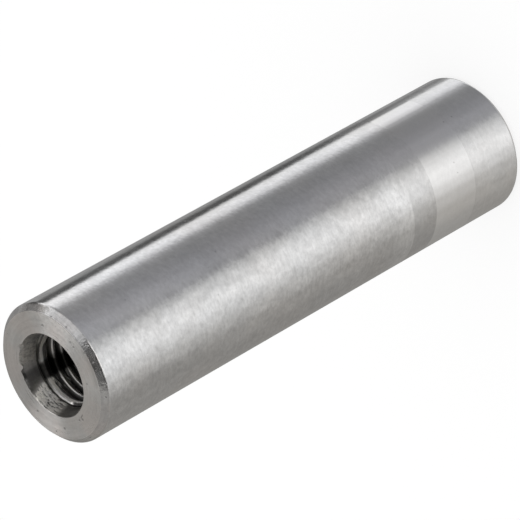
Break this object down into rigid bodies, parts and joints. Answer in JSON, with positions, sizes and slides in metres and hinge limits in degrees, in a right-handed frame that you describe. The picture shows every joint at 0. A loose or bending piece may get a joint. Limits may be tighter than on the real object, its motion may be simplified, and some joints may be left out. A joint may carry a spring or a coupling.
{
  "type": "dowel sleeve",
  "caption": "Parallel steel dowel, chamfered at both ends, with a blind tapped pull-out hole in one end.",
  "frame": {"origin": "centre of the plain end face, which the dowel stands on", "axes": "+Z along the dowel's axis, from the plain end up to the tapped end; X and Y are free, because the shape is round"},
  "size_m": [0.01, 0.01, 0.0405],
  "materials": {
    "ground_steel": "plain steel, ground round the shank and turned on the end, satin with fine circumferential marks"
  },
  "bodies": {
    "root": {"dowel_sleeve": "ground_steel"}
  },
  "joints": []
}
